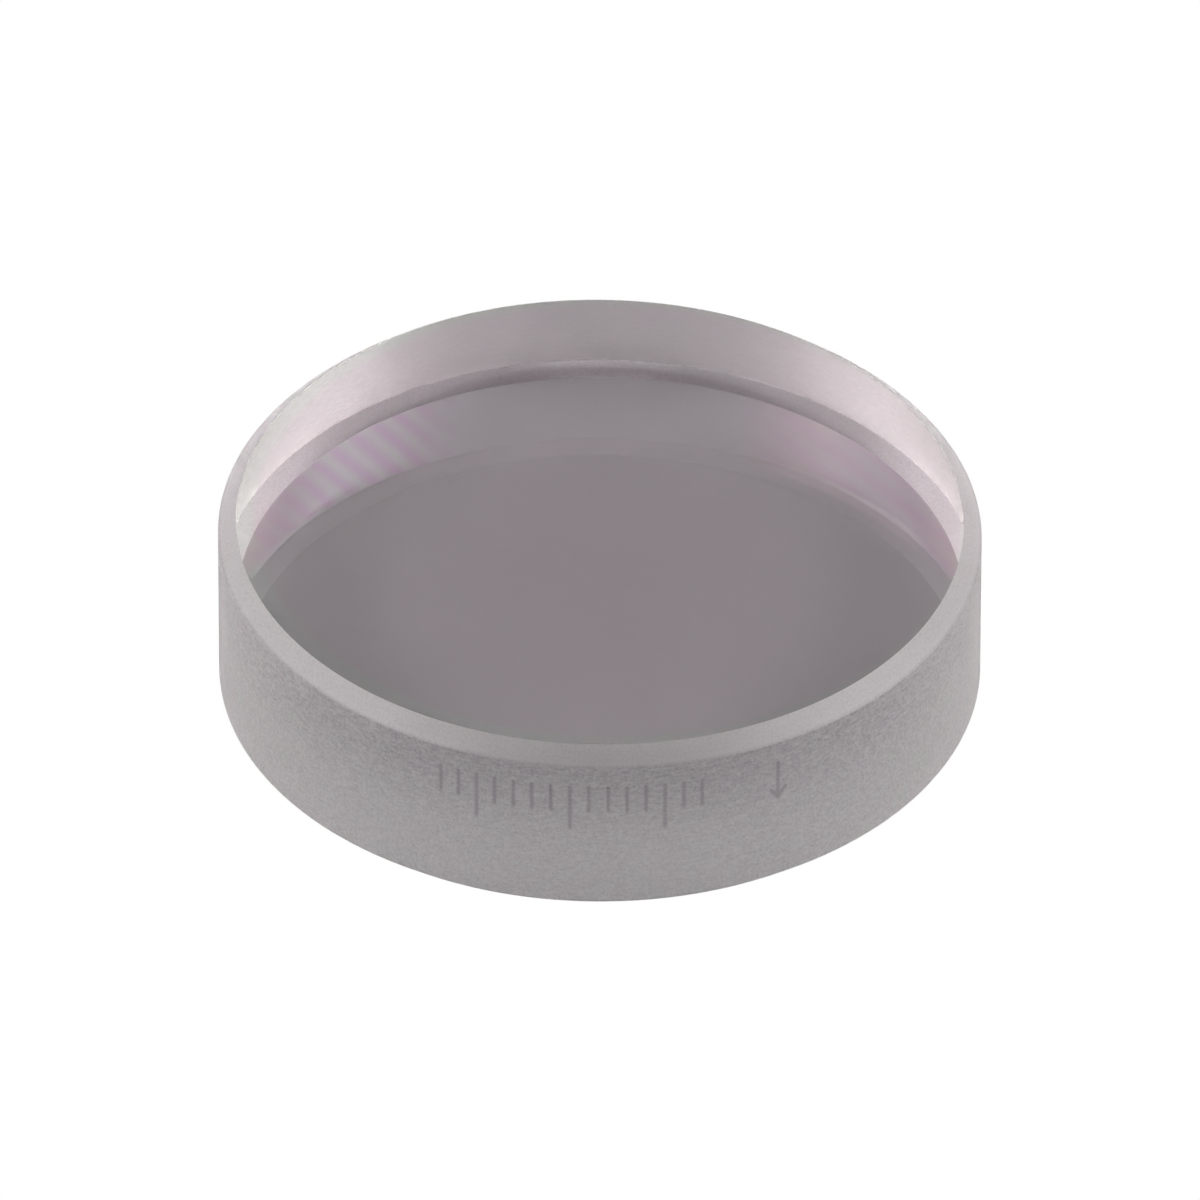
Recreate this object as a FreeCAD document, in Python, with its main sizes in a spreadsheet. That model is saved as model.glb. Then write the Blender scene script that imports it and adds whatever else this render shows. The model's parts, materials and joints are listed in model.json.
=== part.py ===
"""Round beam sampler, half-inch size: one plate of fused silica.

The edge is a fine-ground cylinder. The lower polished face is square to that cylinder and the upper one
leans by the wedge angle, so the plate is thickest at -X and thinnest at +X. A bevel is ground round each
face about that face's own axis, which keeps its width even all the way round, also on the leaning face.
Millimetres, +Z up, origin at the centre of the lower face.
"""

import FreeCAD
import Part
import enum
import os

import Sketcher

PARTS_FOLDER = "parts"
PLATE = "wedged_plate"
SHEET = "Sizes"

# Driving dimensions: alias, value, unit, what it is.
SIZES = [
    ("plate_diameter", 12.7, "mm", "outside diameter of the ground edge"),
    ("centre_thickness", 3.3, "mm", "face to face on the axis"),
    ("wedge_angle", 0.5, "deg", "lean of the upper face, 30 arc minutes"),
    ("bevel_width", 0.3, "mm", "how far a bevel reaches in over its face"),
    ("bevel_height", 0.27, "mm", "how far a bevel reaches along the edge"),
]

# The profile that grinds a bevel is this many times the bevel's own size, so that it clears the edge.
OVERCUT = 2
FULL_TURN = 360
FACES = 2


class Side(enum.IntEnum):
    """Which way along the axis a bevel runs away from its face."""

    UP = 1
    DOWN = -1


class Point(enum.IntEnum):
    """Points of a sketch element, by the numbers that constraints know them by."""

    START = 1
    END = 2
    CENTRE = 3


# The sketch's own horizontal axis, which starts at its origin.
ACROSS = -1
ORIGIN = (ACROSS, Point.START)


def make_sheet(doc):
    """The spreadsheet that every size of the plate is bound to."""
    sheet = doc.addObject("Spreadsheet::Sheet", SHEET)
    for row, (alias, value, unit, note) in enumerate(SIZES, start=1):
        sheet.set(f"A{row}", alias)
        sheet.set(f"B{row}", str(value))
        sheet.set(f"C{row}", unit)
        sheet.set(f"D{row}", note)
        sheet.setAlias(f"B{row}", alias)
    doc.recompute()


def origin_plane(body, role):
    """One of the body's own origin planes, such as XY_Plane."""
    return next(feature for feature in body.Origin.OriginFeatures if feature.Role == role)


def new_sketch(body, name, role):
    """An empty sketch on one of the body's origin planes."""
    sketch = body.newObject("Sketcher::SketchObject", name)
    sketch.AttachmentSupport = [(origin_plane(body, role), "")]
    sketch.MapMode = "FlatFace"
    return sketch


def drive(sketch, name, constraint, expression):
    """Adds a dimension to a sketch, names it and binds it to the sheet."""
    index = sketch.addConstraint(constraint)
    sketch.renameConstraint(index, name)
    sketch.setExpression(f"Constraints.{name}", expression)


def draw_outline(body):
    """The plate's round outline, on the plane of its lower face."""
    sketch = new_sketch(body, "edge_outline", "XY_Plane")
    circle = Part.Circle(FreeCAD.Vector(0, 0, 0), FreeCAD.Vector(0, 0, 1), 1)
    rim = sketch.addGeometry(circle, False)
    sketch.addConstraint(Sketcher.Constraint("Coincident", rim, Point.CENTRE, *ORIGIN))
    diameter = Sketcher.Constraint("Diameter", rim, circle.Radius * 2)
    drive(sketch, "outline_diameter", diameter, f"{SHEET}.plate_diameter")
    return sketch


def upper_face_plane(body):
    """The plane of the upper face: the centre thickness up, and turned about Y by the wedge angle."""
    plane = body.newObject("PartDesign::Plane", "upper_face_plane")
    plane.AttachmentSupport = [(origin_plane(body, "XY_Plane"), "")]
    plane.MapMode = "FlatFace"
    lean = FreeCAD.Rotation(FreeCAD.Vector(0, 1, 0), 1)
    plane.AttachmentOffset = FreeCAD.Placement(FreeCAD.Vector(0, 0, 0), lean)
    plane.setExpression("AttachmentOffset.Base.z", f"{SHEET}.centre_thickness")
    plane.setExpression("AttachmentOffset.Rotation.Angle", f"{SHEET}.wedge_angle")
    return plane


def make_blank(body):
    """The round blank, from its lower face up to the plane of the leaning one."""
    outline = draw_outline(body)
    top = upper_face_plane(body)
    body.Document.recompute()
    blank = body.newObject("PartDesign::Pad", "ground_blank")
    blank.Profile = outline
    blank.Type = "UpToFace"
    blank.UpToFace = (top, [""])
    body.Document.recompute()
    return blank


def draw_bevel_profile(body, name, side):
    """What is ground off at a face's rim: a triangle in the XZ plane that starts on the face, where the
    bevel starts, and slopes past the edge. The sketch's origin is the centre of the face."""
    sketch = new_sketch(body, f"{name}_profile", "XZ_Plane")
    face_corner = FreeCAD.Vector(1, 0, 0)
    outer_corner = face_corner + face_corner
    slope_end = outer_corner + FreeCAD.Vector(0, side, 0)
    slope = sketch.addGeometry(Part.LineSegment(face_corner, slope_end), False)
    outside = sketch.addGeometry(Part.LineSegment(slope_end, outer_corner), False)
    over_face = sketch.addGeometry(Part.LineSegment(outer_corner, face_corner), False)
    for line, following in ((slope, outside), (outside, over_face), (over_face, slope)):
        joined = Sketcher.Constraint("Coincident", line, Point.END, following, Point.START)
        sketch.addConstraint(joined)
    sketch.addConstraint(Sketcher.Constraint("Vertical", outside))
    for corner in (Point.START, Point.END):
        sketch.addConstraint(Sketcher.Constraint("PointOnObject", over_face, corner, ACROSS))
    radius = Sketcher.Constraint("DistanceX", *ORIGIN, slope, Point.START, face_corner.x)
    drive(sketch, "face_radius", radius, f"{SHEET}.plate_diameter / 2 - {SHEET}.bevel_width")
    width = Sketcher.Constraint("DistanceX", over_face, Point.END, over_face, Point.START, 1)
    drive(sketch, "ground_width", width, f"{OVERCUT} * {SHEET}.bevel_width")
    low, high = (Point.END, Point.START) if side == Side.UP else (Point.START, Point.END)
    height = Sketcher.Constraint("DistanceY", outside, low, outside, high, 1)
    drive(sketch, "ground_height", height, f"{OVERCUT} * {SHEET}.bevel_height")
    return sketch


def grind_bevel(body, name, profile):
    """Turns the profile about its sketch's own upright axis, which is the axis of the face."""
    body.Document.recompute()
    bevel = body.newObject("PartDesign::Groove", name)
    bevel.Profile = profile
    bevel.ReferenceAxis = (profile, ["V_Axis"])
    bevel.Angle = FULL_TURN
    body.Document.recompute()
    return bevel


def make_lower_bevel(body):
    """The bevel of the square face, about the plate's own axis."""
    profile = draw_bevel_profile(body, "lower_bevel", Side.UP)
    return grind_bevel(body, "lower_bevel", profile)


def make_upper_bevel(body):
    """The bevel of the leaning face: its profile is raised to that face and leans with it."""
    profile = draw_bevel_profile(body, "upper_bevel", Side.DOWN)
    lean = FreeCAD.Rotation(FreeCAD.Vector(0, 0, -1), 1)
    profile.AttachmentOffset = FreeCAD.Placement(FreeCAD.Vector(0, 0, 0), lean)
    profile.setExpression("AttachmentOffset.Base.y", f"{SHEET}.centre_thickness")
    profile.setExpression("AttachmentOffset.Rotation.Angle", f"{SHEET}.wedge_angle")
    return grind_bevel(body, "upper_bevel", profile)


def make_plate(doc):
    """The whole plate: the blank, then a bevel round each face, each of which takes glass away."""
    body = doc.addObject("PartDesign::Body", PLATE)
    body.Label = PLATE
    volume = make_blank(body).Shape.Volume
    for make_bevel in (make_lower_bevel, make_upper_bevel):
        bevel = make_bevel(body)
        if bevel.Shape.Volume >= volume:
            raise RuntimeError(f"{bevel.Name} took nothing away")
        volume = bevel.Shape.Volume
        body.Tip = bevel
    doc.recompute()
    return body


def check(doc, body):
    """Stops the build if an object failed, or the plate isn't one valid solid with two round faces of the
    radius that the bevels should leave."""
    failed = [item.Name for item in doc.Objects if {"Invalid", "Error"} & set(item.State)]
    if failed:
        raise RuntimeError(f"these objects failed: {failed}")
    shape = body.Shape
    if shape.isNull() or not shape.isValid() or len(shape.Solids) != 1:
        raise RuntimeError("the plate is not one valid solid")
    sheet = doc.getObject(SHEET)
    face_radius = sheet.plate_diameter / 2 - sheet.bevel_width
    close = FreeCAD.Base.Precision.approximation()
    rims = [face.OuterWire.Edges[0].Curve for face in shape.Faces if isinstance(face.Surface, Part.Plane)]
    wrong = [rim for rim in rims if abs(rim.Radius - face_radius) > close]
    if len(rims) != FACES or wrong:
        raise RuntimeError("the bevels don't leave the two faces that they should")


def main():
    doc = FreeCAD.newDocument("beam_sampler")
    make_sheet(doc)
    plate = make_plate(doc)
    check(doc, plate)
    os.makedirs(PARTS_FOLDER, exist_ok=True)
    plate.Shape.exportStep(os.path.join(PARTS_FOLDER, f"{plate.Label}.step"))


main()
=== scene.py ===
"""Looks for a round wedged beam sampler: a clear plate with polished faces and a ground edge.

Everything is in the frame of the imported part: +Z along the axis of the ground edge, the lower face at z = 0,
the thick side of the wedge at -X and the etched marks on the side that faces -Y. Blender's own values are
in metres. The plate's mesh is worked out in millimetres, and scaled when it is done.
"""

import json
import math

import bmesh
import bpy
import numpy as np
from mathutils import Matrix, Vector


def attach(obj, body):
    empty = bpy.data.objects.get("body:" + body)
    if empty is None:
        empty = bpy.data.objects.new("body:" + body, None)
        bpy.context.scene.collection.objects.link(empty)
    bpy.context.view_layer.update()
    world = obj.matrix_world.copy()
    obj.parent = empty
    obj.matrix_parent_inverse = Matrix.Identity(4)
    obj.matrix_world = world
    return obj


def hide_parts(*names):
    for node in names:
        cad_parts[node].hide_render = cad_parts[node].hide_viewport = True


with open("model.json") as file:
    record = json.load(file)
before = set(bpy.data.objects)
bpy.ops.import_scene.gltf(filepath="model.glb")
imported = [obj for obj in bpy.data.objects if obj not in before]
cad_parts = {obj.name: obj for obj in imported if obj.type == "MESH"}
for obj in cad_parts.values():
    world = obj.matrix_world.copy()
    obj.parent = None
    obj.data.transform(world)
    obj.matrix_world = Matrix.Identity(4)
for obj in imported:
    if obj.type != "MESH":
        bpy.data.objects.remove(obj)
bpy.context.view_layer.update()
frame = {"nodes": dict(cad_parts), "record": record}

MM = 0.001
NODE = "wedged_plate"


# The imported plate's sizes

NEAR = 0.001


def read_plate():
    """Radius, centre thickness, lean and bevel in millimetres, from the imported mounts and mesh."""
    mounts = {mount["name"]: mount for mount in frame["record"]["mounts"]}
    radius = mounts["edge"]["dims"]["r_mm"]
    upper = mounts["upper_face"]
    points = np.array([vertex.co for vertex in frame["nodes"][NODE].data.vertices]) / MM
    reach = np.hypot(points[:, 0], points[:, 1])
    on_lower_face = points[:, 2] < NEAR
    on_edge = reach > radius - NEAR
    return {
        "radius": radius,
        "thickness": upper["pos_m"][2] / MM,
        "lean": math.atan2(upper["axis"][0], upper["axis"][2]),
        "bevel_width": radius - float(reach[on_lower_face].max()),
        "bevel_height": float(points[on_edge, 2].min()),
    }


plate_sizes = read_plate()
RADIUS = plate_sizes["radius"]
THICKNESS = plate_sizes["thickness"]
LEAN = plate_sizes["lean"]
BEVEL_WIDTH = plate_sizes["bevel_width"]
BEVEL_HEIGHT = plate_sizes["bevel_height"]
FACE_RADIUS = RADIUS - BEVEL_WIDTH


# Rings of the plate

# Columns are placed in degrees round the axis, and rows in millimetres below the top of the edge. What ends
# in ROWS, RINGS or PASSES is a count.
FULL_TURN = 360
FRONT = -90
MARKS_FROM, MARKS_TO = -118, -56
COARSE_COLUMN = 0.5
FINE_COLUMN = 0.125
MARKS_TOP, MARKS_BOTTOM = 0.3, 1.35
FINE_ROW = 0.025
TOP_RINGS = 5
PLAIN_ROWS = 10
BEVEL_ROWS = 4
EDGE_PASSES = 4


def column_angles():
    """Angles of the mesh's columns, in radians: closer together where the marks are."""
    fine = np.arange(MARKS_FROM, MARKS_TO, FINE_COLUMN)
    coarse = np.arange(MARKS_TO, MARKS_FROM + FULL_TURN, COARSE_COLUMN)
    return np.radians(np.concatenate([fine, coarse]))


def circle(radius, height, angles):
    """Points about the axis of the ground edge."""
    return np.stack([radius * np.cos(angles), radius * np.sin(angles), np.full_like(angles, height)], axis=1)


def upper_point(radius, height, angles):
    """Points about the leaning upper face's own axis: height is above that face, below it when negative."""
    across = radius * np.cos(angles)
    x = across * math.cos(LEAN) + height * math.sin(LEAN)
    z = THICKNESS - across * math.sin(LEAN) + height * math.cos(LEAN)
    return np.stack([x, radius * np.sin(angles), z], axis=1)


def upper_edge(angles):
    """Where the upper bevel's cone meets the cylinder of the edge. Each pass comes closer to it."""
    slope = BEVEL_HEIGHT / BEVEL_WIDTH
    radius = np.full_like(angles, RADIUS)
    for _ in range(EDGE_PASSES):
        points = upper_point(radius, (FACE_RADIUS - radius) * slope, angles)
        radius = radius + RADIUS - np.hypot(points[:, 0], points[:, 1])
    return points


def between(low, high, rows):
    """The rings that part the way from one ring to another into even rows."""
    shares = np.linspace(0, 1, rows + 1)[1:-1]
    return [low + (high - low) * share for share in shares]


# Etched marks on the edge

# A row of index strokes and an arrow that points at the lower face. Places are millimetres along the edge
# from the front, to the right, and down from the top of the edge.
TICKS = 15
TICK_PITCH = 0.316
FIRST_TICK = -2.70
TICK_TOP = 0.42
SHORT_TICK, LONG_TICK = 0.5, 0.85
LONG_EVERY, FIRST_LONG = 5, 2
ARROW_PLACE = 3.07
ARROW_TOP, ARROW_TIP = 0.42, 1.14
BARB_WIDTH = 0.13
BARB_LENGTH = 1.4 * BARB_WIDTH


def strokes():
    """Every etched line, as a pair of ends."""
    lines = []
    for tick in range(TICKS):
        along = FIRST_TICK + tick * TICK_PITCH
        length = LONG_TICK if tick % LONG_EVERY == FIRST_LONG else SHORT_TICK
        lines.append(((along, TICK_TOP), (along, TICK_TOP + length)))
    tip = (ARROW_PLACE, ARROW_TIP)
    lines.append(((ARROW_PLACE, ARROW_TOP), tip))
    for side in (-1, 1):
        lines.append(((ARROW_PLACE + side * BARB_WIDTH, ARROW_TIP - BARB_LENGTH), tip))
    return lines


# A stroke keeps its full depth to a quarter of STROKE_WIDTH from its middle line, and is gone at three
# quarters, which is STROKE_REACH times half its width.
STROKE_WIDTH = 0.065
STROKE_DEPTH = 0.02
STROKE_REACH = 1.5
BEAD_PITCH = 0.09
BEAD_LEVEL, BEAD_SWING = 0.8, 0.1
SECOND_PACE, SECOND_START = 1.7, 5


def beads(along_stroke, start):
    """The share of its full depth that a stroke has along its length: two waves that don't keep step."""
    turn = along_stroke / BEAD_PITCH * 2 * math.pi
    second_turn = SECOND_PACE * turn + SECOND_START * start
    return BEAD_LEVEL + BEAD_SWING * np.cos(turn) + BEAD_SWING * np.cos(second_turn)


def etched_depth(along, down):
    """How deep the marks are at each place, from 0 to 1."""
    depth = np.zeros_like(along)
    for (a0, d0), (a1, d1) in strokes():
        length = math.hypot(a1 - a0, d1 - d0)
        share = ((along - a0) * (a1 - a0) + (down - d0) * (d1 - d0)) / length ** 2
        share = np.clip(share, 0, 1)
        gap = np.hypot(along - a0 - share * (a1 - a0), down - d0 - share * (d1 - d0))
        stroke = np.clip(STROKE_REACH - gap / (STROKE_WIDTH / 2), 0, 1) * beads(share * length, a0)
        depth = np.maximum(depth, stroke)
    return depth


def along_edge(angles):
    """Millimetres along the edge from the front, to the right."""
    turned = np.degrees(angles) - FRONT
    return np.radians((turned + FULL_TURN / 2) % FULL_TURN - FULL_TURN / 2) * RADIUS


def edge_rows(angles):
    """The rings up the ground edge, and how deep the marks are on each."""
    foot = circle(RADIUS, BEVEL_HEIGHT, angles)
    top = upper_edge(angles)
    down = np.concatenate([
        np.arange(MARKS_BOTTOM, MARKS_TOP, -FINE_ROW),
        np.linspace(MARKS_TOP, 0, TOP_RINGS),
    ])
    lowest = top - [0, 0, down[0]]
    along = along_edge(angles)
    rows = [foot, *between(foot, lowest, PLAIN_ROWS)]
    depths = [np.zeros_like(angles)] * len(rows)
    inward = -circle(1, 0, angles)
    for distance in down:
        depth = etched_depth(along, np.full_like(along, distance))
        rows.append(top - [0, 0, distance] + inward * STROKE_DEPTH * depth[:, None])
        depths.append(depth)
    return rows, depths


# The plate's mesh

# Zones, as places in its list of materials.
UPPER, LOWER, UPPER_BEVEL, LOWER_BEVEL, EDGE = range(5)


def plate_rings(angles):
    """All rings from the lower face's rim to the upper one's, how deep each is etched, and the zone between
    each ring and the next."""
    lower_rim = circle(FACE_RADIUS, 0, angles)
    upper_rim = upper_point(np.full_like(angles, FACE_RADIUS), np.zeros_like(angles), angles)
    edge, depths = edge_rows(angles)
    below = [lower_rim, *between(lower_rim, edge[0], BEVEL_ROWS)]
    above = [*between(edge[-1], upper_rim, BEVEL_ROWS), upper_rim]
    plain = [np.zeros_like(angles)]
    etched = plain * len(below) + depths + plain * len(above)
    zones = [LOWER_BEVEL] * len(below) + [EDGE] * (len(edge) - 1) + [UPPER_BEVEL] * len(above)
    return below + edge + above, etched, zones


def add_ring(bm, layer, points, depths):
    """A ring of vertices that know how deep they are etched."""
    ring = [bm.verts.new(point) for point in points]
    for vertex, depth in zip(ring, depths):
        vertex[layer] = depth
    return ring


def join_rings(bm, low, high, zone):
    """The strip of faces between two rings."""
    for i in range(len(low)):
        j = (i + 1) % len(low)
        face = bm.faces.new((low[i], low[j], high[j], high[i]))
        face.material_index = zone
        face.smooth = True


def build_plate():
    """One closed mesh: two flat polished faces, the ground edge with its marks, and two bevels, with a sharp
    corner where two of them meet."""
    points, etched, zones = plate_rings(column_angles())
    bm = bmesh.new()
    layer = bm.verts.layers.float.new("etched")
    rings = [add_ring(bm, layer, ring, depths) for ring, depths in zip(points, etched)]
    for low, high, zone in zip(rings, rings[1:], zones):
        join_rings(bm, low, high, zone)
    bm.faces.new(rings[0][::-1]).material_index = LOWER
    bm.faces.new(rings[-1]).material_index = UPPER
    for edge in bm.edges:
        edge.smooth = len({face.material_index for face in edge.link_faces}) == 1
    mesh = bpy.data.meshes.new("beam_sampler_plate")
    bm.to_mesh(mesh)
    bm.free()
    mesh.transform(Matrix.Scale(MM, 4))
    return mesh


# Building nodes

def add(tree, kind, **settings):
    """A shader node of a kind, with its settings."""
    node = tree.nodes.new("ShaderNode" + kind)
    for name, value in settings.items():
        setattr(node, name, value)
    return node


def feed(tree, socket, value):
    """Puts a number, or the output of another node, into a socket."""
    if isinstance(value, bpy.types.NodeSocket):
        tree.links.new(value, socket)
    else:
        socket.default_value = value


def maths(tree, operation, *values):
    """What an operation of the Math node makes of numbers or outputs."""
    node = add(tree, "Math", operation=operation)
    for socket, value in zip(node.inputs, values):
        feed(tree, socket, value)
    return node.outputs["Value"]


def millimetres(tree, stretch=(1, 1, 1)):
    """The plate's own coordinates in millimetres, squeezed along each axis by the numbers given."""
    coordinates = add(tree, "TexCoord").outputs["Object"]
    mapping = add(tree, "Mapping")
    mapping.inputs["Scale"].default_value = [value / MM for value in stretch]
    tree.links.new(coordinates, mapping.inputs["Vector"])
    return mapping.outputs["Vector"]


def place_on_plate(tree):
    """The outputs X, Y and Z of a place on the plate, in millimetres."""
    place = add(tree, "SeparateXYZ")
    tree.links.new(millimetres(tree), place.inputs["Vector"])
    return place.outputs


def hypotenuse(tree, x, y):
    """How far it is to a place that is x along and y across."""
    squares = [maths(tree, "MULTIPLY", value, value) for value in (x, y)]
    return maths(tree, "SQRT", maths(tree, "ADD", *squares))


def noise(tree, stretch, detail=2.0, roughness=0.5):
    """Noise from 0 to 1, with about as many lumps to a millimetre as stretch says for each axis."""
    node = add(tree, "TexNoise")
    node.inputs["Scale"].default_value = 1.0
    node.inputs["Detail"].default_value = detail
    node.inputs["Roughness"].default_value = roughness
    tree.links.new(millimetres(tree, stretch), node.inputs["Vector"])
    return node.outputs["Fac"]


def centred(tree, value):
    """Noise moved down to lie about zero."""
    return maths(tree, "SUBTRACT", value, 0.5)


def spread(tree, value, low, high, to_low=0.0, to_high=1.0, smooth=False):
    """Maps a value from one range to another, and holds it at the ends."""
    node = add(tree, "MapRange", interpolation_type="SMOOTHSTEP" if smooth else "LINEAR")
    tree.links.new(value, node.inputs["Value"])
    for name, number in (("From Min", low), ("From Max", high), ("To Min", to_low), ("To Max", to_high)):
        node.inputs[name].default_value = number
    return node.outputs["Result"]


def band(tree, value, rise, fall):
    """0 below the first range of the value, 1 between the two ranges and 0 above the second."""
    risen = spread(tree, value, *rise, smooth=True)
    fallen = spread(tree, value, *fall, smooth=True)
    return maths(tree, "SUBTRACT", risen, fallen)


def blend(tree, factor, first, second):
    """A colour between two others."""
    node = add(tree, "Mix", data_type="RGBA")
    tree.links.new(factor, node.inputs["Factor"])
    colour_sockets = [socket for socket in node.inputs if socket.type == "RGBA"]
    for socket, colour in zip(colour_sockets, (first, second)):
        feed(tree, socket, colour if isinstance(colour, bpy.types.NodeSocket) else (*colour, 1))
    return next(socket for socket in node.outputs if socket.type == "RGBA")


REFRACTION = 1.458
POLISHED = 0.0


def new_glass(name, roughness):
    """A material of clear fused silica."""
    material = bpy.data.materials.new(name)
    material.use_nodes = True
    shader = material.node_tree.nodes["Principled BSDF"]
    shader.inputs["IOR"].default_value = REFRACTION
    shader.inputs["Transmission Weight"].default_value = 1.0
    shader.inputs["Roughness"].default_value = roughness
    return material, material.node_tree, shader


# The coated upper face, in millimetres

COATED_TINT = (1.0, 0.885, 0.93)
BARE_TINT = (0.96, 1.0, 0.93)
COATED_RADIUS = 5.78
COATING_CENTRE = (0.13, 0.04)
COATING_RAMP = 0.22


def coated_face():
    """The polished upper face: its thin coating stops a little short of the rim, and sits off centre."""
    material, tree, shader = new_glass("coated_face", POLISHED)
    place = place_on_plate(tree)
    x = maths(tree, "SUBTRACT", place["X"], COATING_CENTRE[0])
    y = maths(tree, "SUBTRACT", place["Y"], COATING_CENTRE[1])
    reach = hypotenuse(tree, x, y)
    bare = spread(tree, reach, COATED_RADIUS, COATED_RADIUS + COATING_RAMP, smooth=True)
    feed(tree, shader.inputs["Base Color"], blend(tree, bare, COATED_TINT, BARE_TINT))
    return material


# The lower face

# The photo shows the far side of the edge mirrored in it, in a crescent with two horns. A ray of that view
# runs MIRROR_SHIFT towards +Y from one face to the other, so the mirrored edge starts at MIRRORED_EDGE from a
# centre that lies that far towards -Y. Two numbers in brackets are a range in millimetres.
# The colours below paint that mirrored crescent onto the face as fixed colour: a painted reflection with
# fringes, and painted shade towards the ends of its horns.
FILM_INDEX = 1.7
FILM_NANOMETRES = 100
PLAIN_TINT = (0.80, 0.80, 0.80)
MIRROR_SHIFT = 2.13
MIRRORED_EDGE = RADIUS + BEVEL_HEIGHT * MIRROR_SHIFT / THICKNESS
CRESCENT_START = (MIRRORED_EDGE - 0.12, MIRRORED_EDGE + 0.02)
HORNS_START = (2.2, 3.4)
# Painted reflection tints of the horns: lighter nearer the middle, painted shade further out.
PAINTED_HORN_LIGHT = (0.95, 0.78, 0.78)
PAINTED_HORN_SHADE = (0.62, 0.46, 0.52)
SHADE_START, SHADE_END = (3.6, 4.6), (5.2, 5.9)
PAINTED_FRINGE_LIGHT = (0.80, 0.80, 0.75)
PAINTED_FRINGE_DARK = (0.80, 0.54, 0.77)
CLEAREST_START, CLEAREST_END = (-5.4, -4.4), (-1.0, 1.0)
PLAIN_SHARE = 0.65
# A painted highlight: a pale line under the right horn.
PAINTED_HIGHLIGHT = (1.0, 0.95, 0.96)
PAINTED_HIGHLIGHT_INSIDE = (MIRRORED_EDGE - 0.3, MIRRORED_EDGE - 0.15)
PAINTED_HIGHLIGHT_OUTSIDE = (MIRRORED_EDGE, MIRRORED_EDGE + 0.1)
PAINTED_HIGHLIGHT_START, PAINTED_HIGHLIGHT_END = (2.4, 3.4), (5.0, 5.6)


def lower_face_painted_reflection():
    """The polished lower face, with a thin film. The far side of the edge, as mirrored in it, is painted on as
    a fixed painted reflection: faint fringes across the two horns, clearest on the left one, painted shade
    towards their ends, and a painted highlight line under the right one."""
    material, tree, shader = new_glass("lower_face_with_painted_reflection", POLISHED)
    place = place_on_plate(tree)
    aside = maths(tree, "ABSOLUTE", place["X"])
    reach = hypotenuse(tree, aside, maths(tree, "ADD", place["Y"], MIRROR_SHIFT))
    crescent = spread(tree, reach, *CRESCENT_START, smooth=True)
    horns = maths(tree, "MULTIPLY", crescent, spread(tree, aside, *HORNS_START, smooth=True))
    under = band(tree, reach, PAINTED_HIGHLIGHT_INSIDE, PAINTED_HIGHLIGHT_OUTSIDE)
    # Painted highlight line under the right horn.
    painted_highlight = maths(tree, "MULTIPLY", under, band(tree, place["X"], PAINTED_HIGHLIGHT_START, PAINTED_HIGHLIGHT_END))
    # Painted reflection: the horns get their painted tint over the plain one.
    tint = blend(tree, horns, PLAIN_TINT, painted_horn_tint(tree, place["X"], aside))
    feed(tree, shader.inputs["Base Color"], blend(tree, painted_highlight, tint, PAINTED_HIGHLIGHT))
    shader.inputs["Thin Film Thickness"].default_value = FILM_NANOMETRES
    shader.inputs["Thin Film IOR"].default_value = FILM_INDEX
    return material


def painted_horn_tint(tree, x, aside):
    """The painted reflection colour of the horns: fringes, mixed with a plainer tint where they are faint,
    which turns to painted shade over the outer parts of the horns.
    """
    fringes = blend(tree, straight_fringes(tree), PAINTED_FRINGE_LIGHT, PAINTED_FRINGE_DARK)
    plain = blend(tree, band(tree, aside, SHADE_START, SHADE_END), PAINTED_HORN_LIGHT, PAINTED_HORN_SHADE)
    faint = spread(tree, band(tree, x, CLEAREST_START, CLEAREST_END), 0.0, 1.0, PLAIN_SHARE, 0.0)
    return blend(tree, faint, fringes, plain)


FRINGE_PITCH = 0.474
FRINGE_TURN = math.radians(38)
FRINGE_PHASE = -1.7
FRINGE_WAVER = 1.2
WAVER_DETAIL = 2.0
WAVER_SCALE = 1.5
WAVE_REPEAT = math.pi / 10


def straight_fringes(tree):
    """Nearly straight stripes, from 0 to 1 and back every FRINGE_PITCH millimetres. The texture's own stripes
    repeat after WAVE_REPEAT."""
    wave = add(tree, "TexWave", wave_type="BANDS", bands_direction="X", wave_profile="SIN")
    mapping = add(tree, "Mapping")
    mapping.inputs["Rotation"].default_value = (0, 0, -FRINGE_TURN)
    mapping.inputs["Scale"].default_value = [1 / MM] * 3
    tree.links.new(add(tree, "TexCoord").outputs["Object"], mapping.inputs["Vector"])
    tree.links.new(mapping.outputs["Vector"], wave.inputs["Vector"])
    wave.inputs["Scale"].default_value = WAVE_REPEAT / FRINGE_PITCH
    wave.inputs["Distortion"].default_value = FRINGE_WAVER
    wave.inputs["Detail"].default_value = WAVER_DETAIL
    wave.inputs["Detail Scale"].default_value = WAVER_SCALE
    wave.inputs["Phase Offset"].default_value = FRINGE_PHASE
    return wave.outputs["Fac"]


# The ground edge

# Two numbers in brackets are a range of noise. Four are a range, of noise or in millimetres, and what its two
# ends become.
GRAIN = (22, 22, 22)
STREAK = (6, 6, 19)
PATCH = (2.2, 2.2, 3)
NOISE_ROUGHNESS = 0.6
GROUND_ROUGHNESS = 0.6
GROUND_WARM = (0.875, 0.842, 0.853)
GROUND_COOL = (0.842, 0.865, 0.835)
GROUND_DARK = (0.30, 0.265, 0.31)
MARK_DARK = (0.27, 0.24, 0.28)
STREAK_STRENGTH = (0.3, 2.0, 1.2, 0.6)
DARK_SHARE = (0.35, 1.7, 0.47, 0.25)
GRAIN_STRENGTH = 1.1
WARM_TO_COOL = (0.4, 0.6)
STREAK_ROUGHNESS = (-0.2, 0.2, 0.65, 0.55)
RELIEF_DEPTH = 0.0015


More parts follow.
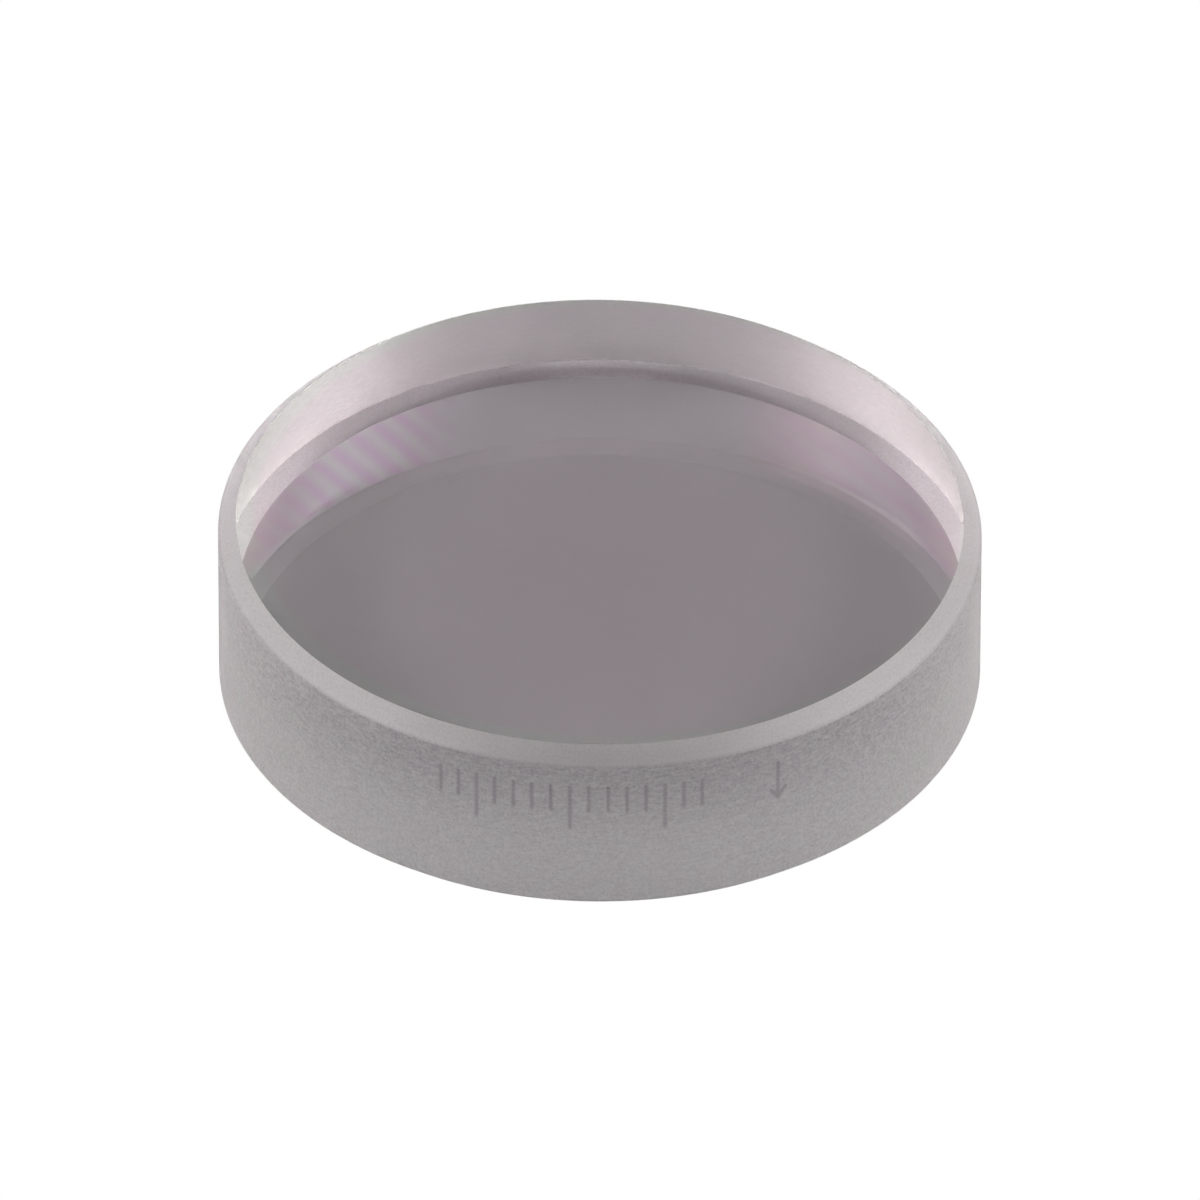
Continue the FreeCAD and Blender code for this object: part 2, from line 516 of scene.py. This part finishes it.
def below_edge(tree):
    """How far a place on the ground edge is below its top, in millimetres."""
    place = place_on_plate(tree)
    height = maths(tree, "MULTIPLY_ADD", place["X"], math.tan(LEAN), place["Z"])
    return maths(tree, "SUBTRACT", THICKNESS - BEVEL_HEIGHT, height)


def fine_grain(tree):
    """The grain that grinding leaves, from 0 to 1."""
    return noise(tree, GRAIN, detail=1.0, roughness=NOISE_ROUGHNESS)


def ground_edge():
    """The fine-ground edge: short streaks round the plate, darker near the top, and the etched marks."""
    material, tree, shader = new_glass("ground_edge", GROUND_ROUGHNESS)
    down = below_edge(tree)
    streaks = centred(tree, noise(tree, STREAK, roughness=NOISE_ROUGHNESS))
    grain = centred(tree, fine_grain(tree))
    strength = spread(tree, down, *STREAK_STRENGTH, smooth=True)
    dark = maths(tree, "MULTIPLY_ADD", streaks, strength, spread(tree, down, *DARK_SHARE, smooth=True))
    dark = maths(tree, "MULTIPLY_ADD", grain, GRAIN_STRENGTH, dark)
    light = blend(tree, spread(tree, noise(tree, PATCH), *WARM_TO_COOL), GROUND_WARM, GROUND_COOL)
    ground = blend(tree, dark, light, GROUND_DARK)
    marks = add(tree, "Attribute", attribute_name="etched").outputs["Fac"]
    feed(tree, shader.inputs["Base Color"], blend(tree, marks, ground, MARK_DARK))
    feed(tree, shader.inputs["Roughness"], spread(tree, streaks, *STREAK_ROUGHNESS))
    feed(tree, shader.inputs["Normal"], relief(tree, maths(tree, "ADD", streaks, grain), RELIEF_DEPTH))
    return material


def relief(tree, height, depth):
    """A bump of the given depth, in millimetres."""
    bump = add(tree, "Bump")
    bump.inputs["Distance"].default_value = depth * MM
    bump.inputs["Strength"].default_value = 1.0
    tree.links.new(height, bump.inputs["Height"])
    return bump.outputs["Normal"]


# The bevels

# Two numbers in brackets are a range in millimetres, and four are as for the edge.
BEVEL_LIGHT = (1.0, 0.985, 0.99)
# Painted shade of the lower bevel: light grey in its middle, darker grey between the middle and the ends.
PAINTED_BEVEL_SHADE = (0.58, 0.56, 0.575)
PAINTED_BEVEL_MIDDLE_SHADE = (0.85, 0.82, 0.84)
UPPER_BEVEL_ROUGHNESS = 0.58
LOWER_BEVEL_ROUGHNESS = 0.8
BEVEL_GRAIN = (0.4, 0.8, 0.0, 0.3)
# Painted shade along the upper bevel's outer corner.
PAINTED_CORNER_SHADE = (-0.045, 0.0, 0.0, 0.35)
BEVEL_SHADE_START, BEVEL_SHADE_END = (0.3, 1.8), (4.2, 5.3)
HIDDEN_FILM_NANOMETRES = 1.0


def new_bevel(name, roughness):
    """A bevel's glass and its fine grain. Its film of a nanometre can't be seen: without a film, the render
    shows a thin line across the bevel where light starts to be reflected in full."""
    material, tree, shader = new_glass(name, roughness)
    shader.inputs["Thin Film Thickness"].default_value = HIDDEN_FILM_NANOMETRES
    grain = spread(tree, fine_grain(tree), *BEVEL_GRAIN)
    return material, tree, shader, grain


def upper_bevel():
    """The bevel of the upper face: ground more finely than the edge, with a painted shade line along its outer
    corner.
    """
    material, tree, shader, grain = new_bevel("upper_bevel", UPPER_BEVEL_ROUGHNESS)
    # Painted shade: a dark line along the outer corner, on top of the grain.
    dark = maths(tree, "ADD", grain, spread(tree, below_edge(tree), *PAINTED_CORNER_SHADE, smooth=True))
    feed(tree, shader.inputs["Base Color"], blend(tree, dark, BEVEL_LIGHT, GROUND_DARK))
    return material


def lower_bevel():
    """The bevel of the lower face, seen through the plate, coloured with painted shade: greyer between its
    middle and its ends.
    """
    material, tree, shader, grain = new_bevel("lower_bevel", LOWER_BEVEL_ROUGHNESS)
    aside = maths(tree, "ABSOLUTE", place_on_plate(tree)["X"])
    # Painted shade, greyer between the middle and the ends.
    painted_shade = blend(tree, band(tree, aside, BEVEL_SHADE_START, BEVEL_SHADE_END), PAINTED_BEVEL_MIDDLE_SHADE, PAINTED_BEVEL_SHADE)
    feed(tree, shader.inputs["Base Color"], blend(tree, grain, painted_shade, GROUND_DARK))
    return material


# The plate

def make_plate():
    """The plate, with its materials in the order of the zones."""
    mesh = build_plate()
    for material in (coated_face(), lower_face_painted_reflection(), upper_bevel(), lower_bevel(), ground_edge()):
        mesh.materials.append(material)
    plate = bpy.data.objects.new("beam_sampler_plate", mesh)
    bpy.context.scene.collection.objects.link(plate)
    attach(plate, "root")
    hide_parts(NODE)


make_plate()


# Studio: a pale floor and backdrop, in metres

FLOOR_HEIGHT = -0.01 * MM
FLOOR_REACH = 2.0
FLOOR_CORNERS = ((-1, -1), (1, -1), (1, 1), (-1, 1))
WHITE = (1, 1, 1, 1)
FLOOR_GREY = (0.508, 0.515, 0.527, 1)
ROOM_GREY = (0.09, 0.09, 0.093, 1)


def white_to_camera(tree, white_kind, shader_output):
    """Plain white where the camera looks straight at it, and the given shader for every other ray."""
    path = add(tree, "LightPath")
    white = add(tree, white_kind)
    white.inputs["Color"].default_value = WHITE
    mix = add(tree, "MixShader")
    tree.links.new(path.outputs["Is Camera Ray"], mix.inputs["Fac"])
    tree.links.new(shader_output, mix.inputs[1])
    tree.links.new(white.outputs[0], mix.inputs[2])
    return mix.outputs["Shader"]


def floor_material():
    material = bpy.data.materials.new("floor")
    material.use_nodes = True
    tree = material.node_tree
    shader = tree.nodes["Principled BSDF"]
    shader.inputs["Base Color"].default_value = FLOOR_GREY
    shader.inputs["Roughness"].default_value = 1.0
    shader.inputs["Specular IOR Level"].default_value = 0.0
    surface = white_to_camera(tree, "Emission", shader.outputs["BSDF"])
    tree.links.new(surface, tree.nodes["Material Output"].inputs["Surface"])
    return material


def make_floor():
    corners = [(x * FLOOR_REACH, y * FLOOR_REACH, FLOOR_HEIGHT) for x, y in FLOOR_CORNERS]
    mesh = bpy.data.meshes.new("floor")
    mesh.from_pydata(corners, [], [(0, 1, 2, 3)])
    mesh.materials.append(floor_material())
    floor = bpy.data.objects.new("floor", mesh)
    bpy.context.scene.collection.objects.link(floor)


def make_backdrop():
    world = bpy.data.worlds.new("backdrop")
    world.use_nodes = True
    tree = world.node_tree
    background = tree.nodes["Background"]
    background.inputs["Color"].default_value = ROOM_GREY
    surface = white_to_camera(tree, "Background", background.outputs["Background"])
    tree.links.new(surface, tree.nodes["World Output"].inputs["Surface"])
    bpy.context.scene.world = world
    bpy.context.scene.view_settings.view_transform = "Standard"


# A softbox on each side

# Each is turned round from the front and lifted. Its distance and sizes are in metres.
SOFTBOX_TURN = math.radians(79)
SOFTBOX_LIFT = math.radians(29)
SOFTBOX_DISTANCE = 0.37
SOFTBOX_WIDTH, SOFTBOX_HEIGHT = 0.22, 0.32
SOFTBOX_WATTS = 2.0
SOFTBOX_COLOUR = (1.0, 0.975, 0.95)


def make_softbox(name, side):
    """A tall softbox that faces the plate, on its left where side is -1 and on its right where it is 1."""
    data = bpy.data.lights.new(name, "AREA")
    data.shape = "RECTANGLE"
    data.size = SOFTBOX_WIDTH
    data.size_y = SOFTBOX_HEIGHT
    data.energy = SOFTBOX_WATTS
    data.color = SOFTBOX_COLOUR
    aside = side * math.sin(SOFTBOX_TURN) * math.cos(SOFTBOX_LIFT)
    ahead = -math.cos(SOFTBOX_TURN) * math.cos(SOFTBOX_LIFT)
    place = Vector((aside, ahead, math.sin(SOFTBOX_LIFT))) * SOFTBOX_DISTANCE
    lamp = bpy.data.objects.new(name, data)
    lamp.location = place
    lamp.rotation_euler = place.to_track_quat("Z", "Y").to_euler()
    lamp.visible_camera = False
    bpy.context.scene.collection.objects.link(lamp)


make_floor()
make_backdrop()
make_softbox("left_softbox", -1)
make_softbox("right_softbox", 1)


# The camera, which looks at the marked side from above

# Its distance and sensor are in millimetres.
FRAME_PIXELS = 1200
MIDDLE_PIXEL = (599.75, 598.37)
PIXELS_PER_MM = 60.03
ELEVATION = math.radians(37.79)
ROLL = math.radians(0.12)
CAMERA_DISTANCE = 500
CLIP_FACTOR = 10
SENSOR = 36


def make_camera():
    """The plate's middle lands on MIDDLE_PIXEL of the square frame, at PIXELS_PER_MM."""
    back = Vector((0, -math.cos(ELEVATION), math.sin(ELEVATION)))
    right = Vector((1, 0, 0))
    up = back.cross(right)
    aside = (FRAME_PIXELS / 2 - MIDDLE_PIXEL[0]) / PIXELS_PER_MM
    below = (FRAME_PIXELS / 2 - MIDDLE_PIXEL[1]) / PIXELS_PER_MM
    aim = Vector((0, 0, THICKNESS / 2)) + right * aside - up * below
    data = bpy.data.cameras.new("photo_view")
    data.sensor_width = SENSOR
    data.lens = PIXELS_PER_MM * CAMERA_DISTANCE * SENSOR / FRAME_PIXELS
    data.clip_start = CAMERA_DISTANCE * MM / CLIP_FACTOR
    data.clip_end = CAMERA_DISTANCE * MM * CLIP_FACTOR
    camera = bpy.data.objects.new("photo_view", data)
    turn = Matrix((right, up, back)).transposed() @ Matrix.Rotation(ROLL, 3, "Z")
    camera.matrix_world = Matrix.Translation((aim + back * CAMERA_DISTANCE) * MM) @ turn.to_4x4()
    bpy.context.scene.collection.objects.link(camera)
    bpy.context.scene.camera = camera


make_camera()
